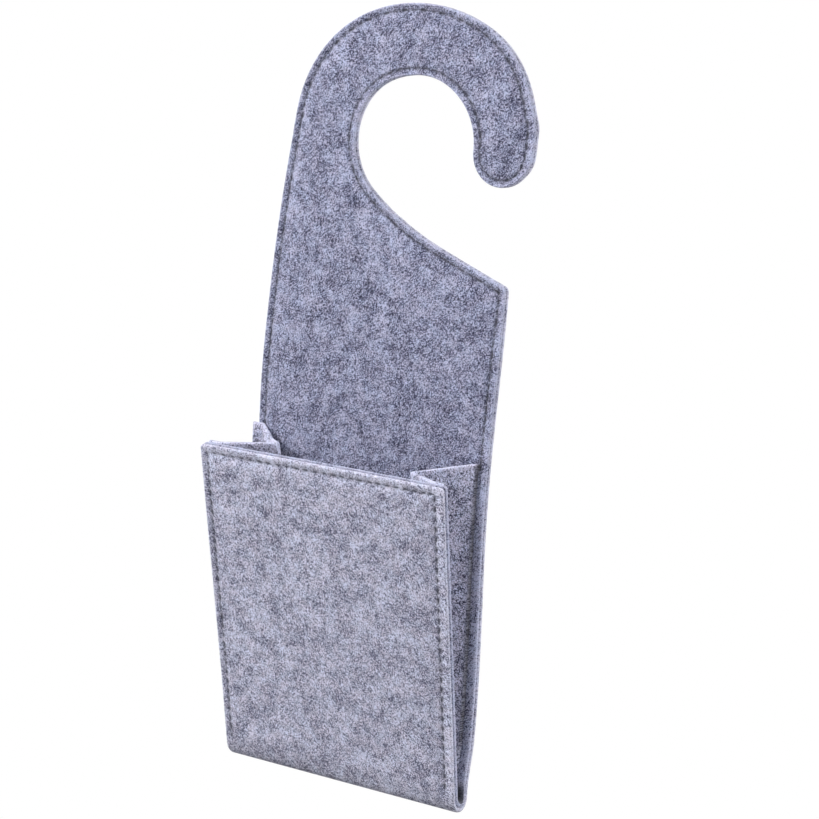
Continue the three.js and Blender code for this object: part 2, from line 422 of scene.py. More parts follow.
def sewn_felt(inset, sewn, fade, inner):
    """Depth that a stitch pulls the felt in, and how dark the groove's painted shade is."""
    dash = eased((DASH_LEVEL - DASH_SWING * math.cos(2 * math.pi * sewn)) / DASH_SOFT)
    step = UNEVEN_STEP * math.floor(sewn) ** UNEVEN_POWER
    uneven = 1 - UNEVEN + UNEVEN * math.sin(step)
    steady = STEADY_INNER if inner else STEADY_OUTER
    pull = groove(inset) * GROOVE_DEPTH * (LOOSE_PULL + (1 - LOOSE_PULL) * dash) * fade
    # The dark is painted shade of the groove: strongest along each stitch, weaker at the holes.
    dark = bump(inset, SEAM_INSET, PINCH_WIDTH) * fade * uneven * (steady + (1 - steady) * dash)
    return pull, dark


print("groove at 1, 3 and 6 mm:", [round(groove(inset), 2) for inset in (1, 3, 6)])

# %% Where highlights and shade are painted on the felt
NEAR = 0.1
POCKET_TOP = 146.0
# Painted highlights, where light catches cut edges, the rim, margins and the swell inside the left seam:
EDGE_BLOOM = 1.2
RIM_PALE, RIM_FALL = 0.95, 0.12
MARGIN_PALE, MARGIN_START, MARGIN_EASE = 0.6, 1.2, 2.0
FRONT_MARGIN_PALE = 0.4
SWELL_PALE, SWELL_INSET, SWELL_SPREAD = 0.22, 5.0, 1.8
INNER_FOLD_DARK, INNER_FOLD_START, INNER_FOLD_EASE = 0.85, 1.0, 6.0
OUTER_FOLD_DARK, OUTER_FOLD_EASE = 0.22, 9.0
GAP_INSET, RIM_GAP_DARK, GAP_DARK = 1.0, 0.25, 0.1


def at_rim(seam_t, wrap):
    return seam_t < -wrap - FRONT_LENGTH + SEAM_INSET + NEAR


def in_pocket(seam_t):
    return 0 < seam_t < POCKET_TOP


# Share of painted highlight at a point: cut edge, rim, margins and the swell inside the seam.
def pale_share(p, seam_t, inset, inner, wrap):
    shares = [0, 1 - inset / EDGE_BLOOM]
    if at_rim(seam_t, wrap):
        shares.append(RIM_PALE - RIM_FALL * inset)
    if inner and in_pocket(seam_t) and p.x > 0:
        shares.append(MARGIN_PALE * (1 - eased((inset - MARGIN_START) / MARGIN_EASE)))
    if p.x > 0 and p.y < -wrap:
        shares.append(FRONT_MARGIN_PALE * (1 - inset / SEAM_INSET))
    if inner and p.x < HOOK.x:
        shares.append(SWELL_PALE * bump(inset, SWELL_INSET, SWELL_SPREAD))
    return max(shares)


# Painted shade deep in the fold, where little light gets in: strong on the inner ply and fading past the
# fold; lighter on the outer ply, fading up the front's lowest part.
def painted_fold_shade(p, inner, wrap):
    if inner:
        past_fold = abs(p.y + wrap / 2) - wrap / 2
        return INNER_FOLD_DARK * (1 - eased((past_fold - INNER_FOLD_START) / INNER_FOLD_EASE))
    return OUTER_FOLD_DARK * (1 - eased((-wrap - p.y) / OUTER_FOLD_EASE)) if p.y < 0 else 0.0


print("how dark the inner fold is:", painted_fold_shade(Vector((0, -1)), True, INNER_WRAP))

# %% [markdown]
# ## Cutting a ply
#
# A ply could be a plane with a Solidify modifier, but then the edge would be a sharp box and the
# seam only painted on. Instead the ply is built from the cut line drawn at many distances from
# the edge: close together where the edge rounds off and across the groove, then one filled face
# in the middle. Straight cuts across the flat felt, closest at the fold, let it bend.

# %% Rings from the edge inwards
# Distance from the edge, and half the felt's thickness there.
EDGE_ROUND = [(0.08, 0.5), (0.28, 0.84), (0.7, 1.06), (1.3, FELT / 2)]
SEAM_ROWS = [2.0, 2.4, 2.7, 3.0, 3.3, 3.7, 4.4, 5.6, 7.5, 10.0]
PLY_ROWS = EDGE_ROUND + [(inset, FELT / 2) for inset in SEAM_ROWS]


def face_rings(bm, side, inner, wrap):
    """One face of a ply, side 1 or -1, as rings of points. The seam shows on one face only."""
    line, phase = seam_phase(wrap)
    seam, cut = bm.verts.layers.float["seam"], bm.verts.layers.float["painted_highlight"]
    shown = side == (-1 if inner else 1)
    rings = []
    for inset, height in PLY_ROWS:
        ring = []
        for i, p in enumerate(cut_line(inset, wrap)):
            seam_t = line[i].y
            pull = dark = 0.0
            pale = max(0, 1 - inset / EDGE_BLOOM)
            if shown:
                pale = pale_share(p, seam_t, inset, inner, wrap)
                if i in phase and not (inner and in_pocket(seam_t)):
                    pull, dark = sewn_felt(inset, *phase[i], inner)
                dark = max(dark, painted_fold_shade(p, inner, wrap))
            # On the hidden face near the edge: painted shadow of the gap between the plies, darker at the
            # rim.
            elif inset < GAP_INSET:
                dark = RIM_GAP_DARK if at_rim(seam_t, wrap) else GAP_DARK
            vert = bm.verts.new((p.x, p.y, side * (height - pull)))
            # Painted shade and painted highlight of this point, for the felt's finish.
            vert[seam] = dark
            vert[cut] = pale
            ring.append(vert)
        rings.append(ring)
    return rings


print("rows of points on each face:", len(PLY_ROWS))

# %% Join rings, and cut the felt across
FOLD_CUT = 1.1
FLAT_CUT = 12.0
CUT_MERGE = 0.002
FOLD_ROOM = 4.0
FOLD_TOP = 2.0
FLAT_ROWS = range(-14, 29)
FLAT_COLUMNS = range(-5, 6)


def loft(bm, rings):
    count = len(rings[0])
    for a, b in zip(rings, rings[1:]):
        for i in range(count):
            j = (i + 1) % count
            bm.faces.new((a[i], a[j], b[j], b[i]))


def cut_across(bm, wrap):
    fold_cuts = range(-round((wrap + FOLD_ROOM) / FOLD_CUT), 1)
    cuts = [((0, FOLD_CUT * k + FOLD_TOP, 0), (0, 1, 0)) for k in fold_cuts]
    rows = [FLAT_CUT * k for k in FLAT_ROWS]
    flat_rows = [t for t in rows if not -wrap - FOLD_ROOM < t < FOLD_ROOM]
    cuts += [((0, t, 0), (0, 1, 0)) for t in flat_rows]
    cuts += [((FLAT_CUT * k, 0, 0), (1, 0, 0)) for k in FLAT_COLUMNS]
    for place, normal in cuts:
        geom = bm.verts[:] + bm.edges[:] + bm.faces[:]
        bmesh.ops.bisect_plane(bm, geom=geom, dist=CUT_MERGE, plane_co=place, plane_no=normal)
    return len(cuts)


def made_piece(name, bm):
    bmesh.ops.recalc_face_normals(bm, faces=bm.faces[:])
    mesh = bpy.data.meshes.new(name)
    bm.to_mesh(mesh)
    bm.free()
    piece = bpy.data.objects.new(name, mesh)
    bpy.context.scene.collection.objects.link(piece)
    mesh.shade_smooth()
    triangles = sum(len(face.vertices) - 2 for face in mesh.polygons)
    print(name, "has", triangles, "triangles")
    return piece


def new_felt():
    bm = bmesh.new()
    # The seam mark holds painted shade, the other mark painted highlight.
    for mark in ("seam", "painted_highlight"):
        bm.verts.layers.float.new(mark)
    return bm


print("cuts every", FOLD_CUT, "mm in the fold and", FLAT_CUT, "mm elsewhere")

# %% Make the two plies
WELD = 0.01


def felt_ply(name, radius, wrap, inner):
    bm = new_felt()
    upper = face_rings(bm, 1, inner, wrap)
    lower = face_rings(bm, -1, inner, wrap)
    middle = [bm.verts.new((p.x, p.y, 0)) for p in cut_line(0, wrap)]
    # The middle of the cut edge gets the full painted highlight.
    cut = bm.verts.layers.float["painted_highlight"]
    for vert in middle:
        vert[cut] = 1
    loft(bm, upper[::-1] + [middle] + lower)
    bmesh.ops.remove_doubles(bm, verts=bm.verts[:], dist=WELD)
    for up in (1, -1):
        edges = [e for e in bm.edges if len(e.link_faces) == 1 and e.verts[0].co.z * up > 0]
        bmesh.ops.triangle_fill(bm, use_beauty=True, edges=edges, normal=(0, 0, up))
    print(name, "is cut across", cut_across(bm, wrap), "times")
    spot = bm.verts.layers.float_vector.new("felt_place")
    for vert in bm.verts:
        vert[spot] = vert.co
        vert.co = folded(*vert.co, radius, wrap)
    return made_piece(name, bm)


outer_felt = felt_ply("outer_felt", OUTER_RADIUS, OUTER_WRAP, False)
inner_felt = felt_ply("inner_felt", INNER_RADIUS, INNER_WRAP, True)

# %% [markdown]
# ## The gussets
#
# Each gusset is one strip of thinner felt: a flange sewn to the back, a half panel that runs in
# to the pressed crease, a second half panel and a flange sewn to the front. The halves turn about
# their seams when the pocket opens, so front and rear are separate pieces that meet in a round
# knuckle at the crease. A creased plane with a Solidify modifier would be sharp there and gape
# when it folds. So each half is lofted from sections: at every height a flange, a soft bend and a
# straight run to the crease.

# %% One face of half a gusset
SEAM_X = 54.6
HALF_PANEL = 26.0
CREASE_TURN = math.asin(HALF_PANEL / FRONT_LENGTH)
SEAM_BEND = math.pi / 2 - math.acos(math.tan(LEAN / 2) / math.tan(CREASE_TURN))
BEND_OUT, BEND_START, BEND_SHARE = 0.9, 1.0, 0.45
SINK_THIN = 0.3
FLANGE_STEPS = 5
BEND_STEPS = 6
HALF_STEPS = 20


def crease_place(s, side):
    """The crease at rest, in the plane midway between back and front."""
    up = s - s * s * math.sin(CREASE_TURN) ** 2 / FRONT_LENGTH
    width = up * math.tan(CREASE_TURN)
    x = side * (SEAM_X - width * math.cos(SEAM_BEND))
    return Vector((x, -width * math.sin(SEAM_BEND), up))


def gusset_ways(s, side, end):
    """Bend and crease at one height, the way outward from the panel and the ways of the felt."""
    depth_way = on_panel(0, 1, s, end) - on_panel(0, 0, s, end)
    bend = on_panel(side * (SEAM_X + BEND_OUT), 0, s, end)
    crease = crease_place(s, side)
    run = (crease - bend).normalized()
    up_way = on_panel(0, 0, s + 1, end) - on_panel(0, 0, s, end)
    inward = run.cross(up_way).normalized()
    inward *= 1 if inward.dot(depth_way) > 0 else -1
    return bend, crease, depth_way, run, inward


def gusset_face(s, side, end, flange, sink, ease):
    """Points from the flange's cut to the crease: place, way to the inner face, way gone."""
    bend, crease, depth_way, run, inward = gusset_ways(s, side, end)
    length = (crease - bend).length
    reach = min(ease, BEND_SHARE * length)
    face = []
    for k in range(FLANGE_STEPS + 1):
        out = flange + (BEND_OUT + BEND_START - flange) * k / FLANGE_STEPS
        sunk = sink * (1 - k / FLANGE_STEPS)
        spot = on_panel(side * (SEAM_X + out), sunk, s, end)
        face.append((spot, depth_way * (1 - SINK_THIN * sunk), BEND_OUT - out))
    start = face[-1][0]
    for k in range(1, BEND_STEPS + 1):
        share = k / BEND_STEPS
        spot = start.lerp(bend, share).lerp(bend.lerp(bend + run * reach, share), share)
        way = depth_way.lerp(inward, share).normalized()
        face.append((spot, way, -BEND_START + (BEND_START + reach) * share))
    for k in range(1, HALF_STEPS + 1):
        far = reach + (length - reach) * k / HALF_STEPS
        face.append((bend + run * far, inward, far))
    return face


print("the crease ends", round(SEAM_X - crease_place(FRONT_LENGTH, 1).x, 1), "mm from the seam")

# %% [markdown]
# ## Once round the felt
#
# The section goes along one face, round the knuckle at the crease and back along the other face.
# The right gusset's rim is level. The left one hangs crooked: it stands up at the back and has a
# shallow notch at the crease. Its outline is given as height above the rim at shares of the way
# to the crease.

# %% Section and rim
KNUCKLE_STEPS = 6
KNUCKLE_RUN = 1.0
FLANGE_ROUND, FLANGE_RUN = 0.45, 0.4
LEVEL_RIM = [(0, 0), (1, 0)]
REAR_NOTCH = [(0, 1.3), (0.12, -0.6), (0.28, -2.5), (0.45, -2.2), (0.58, -1.4)]
REAR_NOTCH += [(0.66, -4.0), (0.74, -7.4), (0.84, -8.9), (1, -9.5)]
FRONT_NOTCH = [(0, 0), (0.6, 1.7), (0.84, 2.3), (0.89, 0.0), (0.93, -4.5), (0.97, -8.2), (1, -9.5)]


def gusset_section(s, side, end, shape):
    """Points round the felt at one height: place, way to the inner face, way gone and depth."""
    flange, sink, ease, knuckle = shape
    face = gusset_face(s, side, end, flange, sink, ease)
    bend, crease, depth_way, run, inward = gusset_ways(s, side, end)
    points = [(spot, way, far, 0.0) for spot, way, far in face]
    for k in range(KNUCKLE_STEPS + 1):
        turn = math.pi / 2 * (1 - k / KNUCKLE_STEPS)
        shifted = crease + run * knuckle * math.sin(turn) + inward * knuckle * math.cos(turn)
        past = (crease - bend).length + KNUCKLE_RUN
        points.append((shifted, Vector((0, 0, 0)), past, knuckle * math.cos(turn)))
    points += [(spot, way, far, GUSSET_FELT) for spot, way, far in reversed(face[:-1])]
    middle = face[0][0] - (face[1][0] - face[0][0]).normalized() * FLANGE_ROUND
    points.append((middle, depth_way, face[0][2] - FLANGE_RUN, GUSSET_FELT / 2))
    return points


def rim_rise(share, rim):
    for (a, low), (b, high) in zip(rim, rim[1:]):
        if share <= b:
            return low + (high - low) * max(0, (share - a) / (b - a))
    return rim[-1][1]


print("the left notch is", -rim_rise(1, REAR_NOTCH), "mm deep at the crease")

# %% Loft half a gusset
GUSSET_FOOT = 4.0
# Gap to the cut edge, and the share of the thickness that is left there.
CUT_ROUND = [(0.0, 0.5), (0.12, 0.78), (0.45, 0.95), (1.2, 1.0)]
ROWS = 42
ROW_ROOM = 4.0
RIM_START = 115.0
# Painted highlights on the flange's cut end and at the rim, and painted shade in the crevice and low in the
# pocket:
FLANGE_PALE = 0.6
# Strength at the rim, and the way down over which it fades.
RIM_BLOOMS = [(0.7, 0.8), (0.3, 7.0)]
CREVICE, CREVICE_WIDTH, CREVICE_FADE = -1.7, 1.0, 0.35
FADE_START, FADE_EASE = 12, 25
DEEP_DARK, DEEP_START, DEEP_EASE, DEEP_SEAM = 0.5, 8, 22, 3
GRAIN_SIDE, GRAIN_END = 80, 40


def gusset_heights():
    """Heights from the foot to the rim, with the share of the thickness that is left there."""
    span = FRONT_LENGTH - GUSSET_FOOT - 2 * ROW_ROOM
    heights = [(GUSSET_FOOT + gap, share) for gap, share in CUT_ROUND]
    heights += [(GUSSET_FOOT + ROW_ROOM + k * span / ROWS, 1.0) for k in range(ROWS + 1)]
    return heights + [(FRONT_LENGTH - gap, share) for gap, share in reversed(CUT_ROUND)]


def gusset_marks(s, far, n, crevice, shape):
    """Painted shade and painted highlight: shade in the crevice at the seam and low in the pocket on the
    outer face, highlight near the rim and on the flange's cut end.
    """
    below = s - FRONT_LENGTH
    pale = sum(height * math.exp(below / width) for height, width in RIM_BLOOMS)
    if far <= BEND_OUT - shape[0] and not shape[1]:
        pale = max(pale, FLANGE_PALE)
    near = bump(max(far, CREVICE), CREVICE, CREVICE_WIDTH)
    near *= CREVICE_FADE + (1 - CREVICE_FADE) * eased((s - FADE_START) / FADE_EASE)
    deep = DEEP_DARK * (1 - eased((s - DEEP_START) / DEEP_EASE)) * eased(far / DEEP_SEAM)
    outer_face = n < GUSSET_FELT - NEAR
    return (max(crevice * near, deep) if outer_face else 0.0), pale


def gusset_half(name, side, end, crevice, rim, shape):
    bm = new_felt()
    seam, cut = bm.verts.layers.float["seam"], bm.verts.layers.float["painted_highlight"]
    felt_place = bm.verts.layers.float_vector.new("felt_place")
    rings = []
    for s, share in gusset_heights():
        ring = []
        section = gusset_section(s, side, end, shape)
        width = max(point[2] for point in section) - KNUCKLE_RUN
        for i, (spot, way, far, n) in enumerate(section):
            near_rim = eased((s - RIM_START) / (FRONT_LENGTH - RIM_START))
            rise = rim_rise(far / width, rim) * near_rim
            if rise:
                spot, way = gusset_section(s + rise, side, end, shape)[i][:2]
            depth = GUSSET_FELT / 2 + (n - GUSSET_FELT / 2) * share
            vert = bm.verts.new((FOLD_CENTRE + spot + way * depth) * MM)
            # Painted shade and painted highlight of this point.
            vert[seam], vert[cut] = gusset_marks(s, far, n, crevice, shape)
            vert[felt_place] = (side * (GRAIN_SIDE + GRAIN_END * end) + far, s, n)
            ring.append(vert)
        rings.append(ring)
    loft(bm, rings)
    ends = [bm.faces.new(ring) for ring in (rings[0], rings[-1])]
    bmesh.ops.triangulate(bm, faces=ends)
    return made_piece(name, bm)


print("rings of points in half a gusset:", len(gusset_heights()))

# %% Make the four halves
# Each shape is the flange's width, how deep its cut end goes into the ply, the length over which
# the felt bends, and the knuckle's radius. The number before the rim says how dark the painted
# shade in the crevice is.
BACK_FLANGE = BACK_HALF - SEAM_X
FRONT_FLANGE = FRONT_HALF - SEAM_X
gussets = {}
shape = (BACK_FLANGE + 1.3, 0, 5, 2.0)
gussets["rear", "left"] = gusset_half("gusset_rear_left", -1, 1, 0.0, REAR_NOTCH, shape)
shape = (FRONT_FLANGE - 1.6, 0, 2, 1.97)
gussets["front", "left"] = gusset_half("gusset_front_left", -1, -1, 0.3, FRONT_NOTCH, shape)
shape = (BACK_FLANGE - 3.1, 2.5, 1.6, 2.0)
gussets["rear", "right"] = gusset_half("gusset_rear_right", 1, 1, 0.9, LEVEL_RIM, shape)
shape = (FRONT_FLANGE - 1.6, 0, 1.2, 1.97)
gussets["front", "right"] = gusset_half("gusset_front_right", 1, -1, 0.5, LEVEL_RIM, shape)

# %% [markdown]
# ## The stitches
#
# A lockstitch shows as a short length of thread that lies in the groove and dives into a hole at
# each end. Stitches painted in the felt's finish would look flat from the side, so they are
# modelled. One is made from a small sphere drawn out along X, with its ends bent down. Each seam
# takes a copy of it for every stitch, laid on the flat pattern and folded with the felt.

# %% Model one stitch
STITCH_LENGTH = 3.3
THREAD_WIDTH = 0.7
THREAD_FLAT = 0.8
STITCH_DIVE = 0.75
bpy.ops.object.select_all(action="DESELECT")
bpy.ops.mesh.primitive_uv_sphere_add(segments=8, ring_count=7, radius=0.5)
stitch = bpy.context.object
stitch.name = "one_stitch"
bpy.ops.object.mode_set(mode="EDIT")
bpy.ops.mesh.select_all(action="SELECT")
bpy.ops.transform.rotate(value=math.pi / 2, orient_axis="Y", center_override=(0, 0, 0))
bpy.ops.transform.resize(value=(STITCH_LENGTH, THREAD_WIDTH, THREAD_WIDTH * THREAD_FLAT))
bpy.ops.object.mode_set(mode="OBJECT")
for vert in stitch.data.vertices:
    vert.co.z -= STITCH_DIVE * (2 * vert.co.x / STITCH_LENGTH) ** 4
stitch_points = [vert.co.copy() for vert in stitch.data.vertices]
stitch_faces = [tuple(face.vertices) for face in stitch.data.polygons]
bpy.data.objects.remove(stitch)
print("one stitch:", len(stitch_faces), "faces")

# %% Lay stitches along a seam
STITCH_SLANT = 0.1


def point_at(line, walk, where):
    i = max(j for j, w in enumerate(walk) if w <= where)
    i = min(i, len(line) - 2)
    share = (where - walk[i]) / max(1e-9, walk[i + 1] - walk[i])
    return line[i].lerp(line[i + 1], share)


def stitch_row(name, rows):
    """Each row is a flat seam line, the side it shows on, the thread's depth and a fold."""
    bm = bmesh.new()
    twist = bm.verts.layers.float_vector.new("thread_place")
    laid = 0
    for line, side, depth, place in rows:
        walk = walked(line)
        for k in range(int(walk[-1] / STITCH_PITCH)):
            start = point_at(line, walk, k * STITCH_PITCH)
            end = point_at(line, walk, (k + 1) * STITCH_PITCH)
            middle = (start + end) / 2
            way = (end - start).normalized()
            way = (way + STITCH_SLANT * Vector((-way.y, way.x))).normalized()
            beside = Vector((-way.y, way.x))
            verts = []
            for p in stitch_points:
                spot = middle + way * p.x + beside * p.y
                vert = bm.verts.new(place(spot.x, spot.y, side * (depth + p.z)))
                vert[twist] = (k * STITCH_PITCH + p.x, p.y, p.z)
                verts.append(vert)
            for face in stitch_faces:
                bm.faces.new([verts[i] for i in face])
            laid += 1
    print(name, "has", laid, "stitches")
    return made_piece(name, bm)


print("a stitch of", STITCH_LENGTH, "mm every", STITCH_PITCH, "mm")

# %% [markdown]
# ## Four long seams
#
# The back's seam shows on both of its faces, but below the pocket's rim only on the rear one. The
# front's seam shows all round on the outside, and inside along the rim between the gussets. At
# the hook's tip a short second row locks the thread.

# %% Sew the back and the front
THREAD_DEPTH = FELT / 2 - GROOVE_DEPTH
GUSSET_REACH = 54.0
TACK_X, TACK_LOW, TACK_HIGH = 60, 276, 293
TACK_ASIDE = Vector((-0.5, 0))
TACK_LIFT = 0.2


def on_outer(x, t, n):
    return folded(x, t, n, OUTER_RADIUS, OUTER_WRAP)


def on_inner(x, t, n):
    return folded(x, t, n, INNER_RADIUS, INNER_WRAP)


outer_line, (outer_back, outer_front) = seam_runs(OUTER_WRAP)
inner_line, (inner_back, inner_front) = seam_runs(INNER_WRAP)
rear_line = [outer_line[i] for i in outer_back]
front_line = [outer_line[i] for i in outer_front]
hook_line = [inner_line[i] for i in inner_back if inner_line[i].y > POCKET_TOP]
rim_line = [inner_line[i] for i in inner_front if at_rim(inner_line[i].y, INNER_WRAP)]
rim_line = [p for p in rim_line if abs(p.x) < GUSSET_REACH]
tack_line = [p + TACK_ASIDE for p in hook_line if p.x > TACK_X and TACK_LOW < p.y < TACK_HIGH]
hook_rows = [(hook_line, -1, THREAD_DEPTH, on_inner)]
hook_rows += [(tack_line, -1, THREAD_DEPTH + TACK_LIFT, on_inner)]
hook_stitches = stitch_row("hook_stitches", hook_rows)
rear_stitches = stitch_row("rear_stitches", [(rear_line, 1, THREAD_DEPTH, on_outer)])
front_stitches = stitch_row("front_stitches", [(front_line, 1, THREAD_DEPTH, on_outer)])
rim_stitches = stitch_row("rim_stitches", [(rim_line, -1, THREAD_DEPTH, on_inner)])

# %% Lay stitches on the gusset flanges
FLANGE_SEAM_FOOT = 24.0
FLANGE_SEAM_TOP = FRONT_LENGTH - 7
FLANGE_THREAD = -0.3
SUNK_THREAD = -2.5


def on_flange(end):
    def place(x, t, n):
        return (FOLD_CENTRE + on_panel(x, n, t, end)) * MM
    return place


flange_stitches = {}
for label, side in (("left", -1), ("right", 1)):
    for where, end, flange in (("rear", 1, BACK_FLANGE), ("front", -1, FRONT_FLANGE)):
        across = side * (SEAM_X + flange - SEAM_INSET)
        depth = SUNK_THREAD if end > 0 and side > 0 else FLANGE_THREAD
        line = [Vector((across, FLANGE_SEAM_FOOT)), Vector((across, FLANGE_SEAM_TOP))]
        rows = [(line, -1, depth, on_flange(end))]
        flange_stitches[where, label] = stitch_row("flange_stitches_%s_%s" % (where, label), rows)

# %% [markdown]
# ## Finishes
#
# A finish is a small tree of nodes. Colours are written as they look on a screen, and one
# function turns them into the linear values that Blender counts in. Another adds a node with its
# settings and links.

# %% Colours and nodes


def linear(code):
    channels = [int(code[i:i + 2], 16) / 255 for i in (1, 3, 5)]
    return [c / 12.92 if c <= 0.04045 else ((c + 0.055) / 1.055) ** 2.4 for c in channels] + [1.0]


def add_node(tree, kind, inputs=(), stops=(), **settings):
    """Inputs are (socket, value or linked socket) pairs, and settings are the node's properties.
    A colour ramp's stops are (position, colour) pairs, its two ends first."""
    node = tree.nodes.new(kind)
    for name, value in settings.items():
        setattr(node, name, value)
    for k, (position, code) in enumerate(stops):
        elements = node.color_ramp.elements
        element = elements[k] if k < 2 else elements.new(position)
        element.position = position
        element.color = linear(code)
    for socket, source in inputs:
        if isinstance(source, bpy.types.NodeSocket):
            tree.links.new(source, node.inputs[socket])
        else:
            node.inputs[socket].default_value = source
    return node


def new_material(name):
    material = bpy.data.materials.new(name)
    material.use_nodes = True
    shader = material.node_tree.nodes["Principled BSDF"]
    return material, material.node_tree, shader


print("middle grey in linear values:", [round(c, 3) for c in linear("#808080")[:3]])

# %% [markdown]
# ## Heather-grey needle felt
#
# Needle felt is a mat of matt polyester staple, dark and light grey with a cold cast, tangled by
# barbed needles. The eye sees short streaks, salt-and-pepper flecks and soft patches, no gloss,
# and a faint pale bloom at grazing angles. The dye drifts a little between warm and cold. The
# pattern is placed by the flat felt, in millimetres, so it goes round the fold. One noise alone
# would look like stone, so several are added up, three of them drawn out like fibres. Real fibres
# are a few hundredths of a millimetre thick and would not show, so streaks and flecks are drawn
# about ten times coarser.

# %% A mat of fibres
FIBRE_WIDTH = 0.27
# Streaks and flecks are (turn in degrees, length in mm, weight), patches are (size in mm, weight).
STREAKS = [(45, 0.56, 3.2)]
FLECKS = [(50, 0.56, 2.0), (38, 0.42, 2.0)]
PATCHES = [(4.6, 1.3), (11.0, 1.2)]


def fibre_level(tree, place, shift):
    """Adds up all layers about a middle level of 0.5."""
    layers = []
    for kind, fibres in (("ShaderNodeTexNoise", STREAKS), ("ShaderNodeTexVoronoi", FLECKS)):
        for turn, length, weight in fibres:
            laid = [("Vector", place), ("Rotation", (0, 0, math.radians(turn)))]
            laid += [("Location", (shift + turn, shift, turn))]
            laid += [("Scale", (length, FIBRE_WIDTH, FIBRE_WIDTH))]
            turned = add_node(tree, "ShaderNodeMapping", laid, vector_type="TEXTURE").outputs[0]
            layers.append((kind, turned, 1.0, weight))
    layers += [("ShaderNodeTexNoise", place, 1 / size, weight) for size, weight in PATCHES]
    level = 0.5 - sum(layer[-1] for layer in layers) / 2
    for kind, where, scale, weight in layers:
        mat = add_node(tree, kind, [("Vector", where), ("Scale", scale)]).outputs
        tone = mat["Color"] if kind == "ShaderNodeTexVoronoi" else mat["Fac"]
        terms = [(0, tone), (1, weight), (2, level)]
        level = add_node(tree, "ShaderNodeMath", terms, operation="MULTIPLY_ADD").outputs[0]
    return level


print("layers of fibres:", len(STREAKS + FLECKS + PATCHES))

# %% The felt's finish
# The colour that the painted shade mixes towards.
PAINTED_SHADE_COLOUR = "#181822"
DYE_DRIFT = 5.0
WARM_CAST = "#fffafa"
COLD_CAST = "#f9fcff"
FUZZ_HEIGHT, FUZZ_STRENGTH = 0.35, 0.6
FELT_SHEEN = {"Roughness": 0.95, "Specular IOR Level": 0.15}
FELT_SHEEN |= {"Sheen Weight": 0.2, "Sheen Roughness": 0.6}


def needle_felt(name, dark, middle, light, bloom, shift):
    material, tree, shader = new_material(name)
    marks = {}
    for mark in ("felt_place", "painted_highlight", "seam"):
        marks[mark] = add_node(tree, "ShaderNodeAttribute", attribute_name=mark).outputs
    place = marks["felt_place"]["Vector"]
    level = fibre_level(tree, place, shift)
    # Painted highlight: the highlight mark lifts the level towards the light grey, as much as bloom says.
    terms = [(0, marks["painted_highlight"]["Fac"]), (1, bloom), (2, level)]
    level = add_node(tree, "ShaderNodeMath", terms, operation="MULTIPLY_ADD").outputs[0]
    greys = [(0.0, dark), (1.0, light), (0.5, middle)]
    grey = add_node(tree, "ShaderNodeValToRGB", [("Fac", level)], greys).outputs["Color"]
    wide = [("Vector", place), ("Scale", 1 / DYE_DRIFT)]
    drift = add_node(tree, "ShaderNodeTexNoise", wide).outputs["Fac"]
    casts = [(0.35, WARM_CAST), (0.65, COLD_CAST)]
    cast = add_node(tree, "ShaderNodeValToRGB", [("Fac", drift)], casts).outputs["Color"]
    both = [(0, 1.0), (6, grey), (7, cast)]
    dyed = add_node(tree, "ShaderNodeMix", both, data_type="RGBA", blend_type="MULTIPLY")
    # Painted shade: the seam mark mixes the colour towards the shade colour.
    tint = [(0, marks["seam"]["Fac"]), (6, dyed.outputs[2]), (7, linear(PAINTED_SHADE_COLOUR))]
    colour = add_node(tree, "ShaderNodeMix", tint, data_type="RGBA").outputs[2]
    relief = [("Height", level), ("Strength", FUZZ_STRENGTH), ("Distance", FUZZ_HEIGHT * MM)]
    fuzz = add_node(tree, "ShaderNodeBump", relief).outputs["Normal"]
    tree.links.new(colour, shader.inputs["Base Color"])
    tree.links.new(fuzz, shader.inputs["Normal"])
    for socket, value in FELT_SHEEN.items():
        shader.inputs[socket].default_value = value
    return material


# The gussets' felt is drawn darker than the plies': painted shade of the notch they stand in. The inner
# ply's felt is drawn darker than the outer ply's. The number after the greys sets how strongly the painted
# highlights show.
felt = needle_felt("needle_felt", "#2e2e50", "#a3a4be", "#dadcf0", 0.45, 0.0)
inner_ply_felt = needle_felt("needle_felt_inner", "#1b1c39", "#757898", "#bec2dc", 0.75, 210.0)
gusset_felt = needle_felt("needle_felt_gusset", "#1e1e38", "#9193b0", "#d4d6ee", 0.7, 430.0)
print("felts:", [material.name for material in (felt, inner_ply_felt, gusset_felt)])

# %% [markdown]
# ## Sewing thread
#
# Plied polyester thread, a shade darker than the felt and matt with a soft gleam. Its tones are
# drawn much darker still, as painted shadow of the groove that the thread lies in. The ply shows
# as fine slanted lines along each stitch, drawn coarser than they are so that they show.

# %% Thread
PLY_SLANT = math.radians(35)
PLY_SCALE, PLY_WANDER = 0.45, 0.3
PLY_HEIGHT, PLY_STRENGTH = 0.1, 0.5
thread, thread_tree, thread_shader = new_material("polyester_thread")
marks = add_node(thread_tree, "ShaderNodeAttribute", attribute_name="thread_place")
across = [("Vector", marks.outputs["Vector"]), ("Rotation", (0, 0, PLY_SLANT))]
slant = add_node(thread_tree, "ShaderNodeMapping", across).outputs[0]
lines = [("Vector", slant), ("Scale", PLY_SCALE), ("Distortion", PLY_WANDER)]
ply = add_node(thread_tree, "ShaderNodeTexWave", lines).outputs["Fac"]
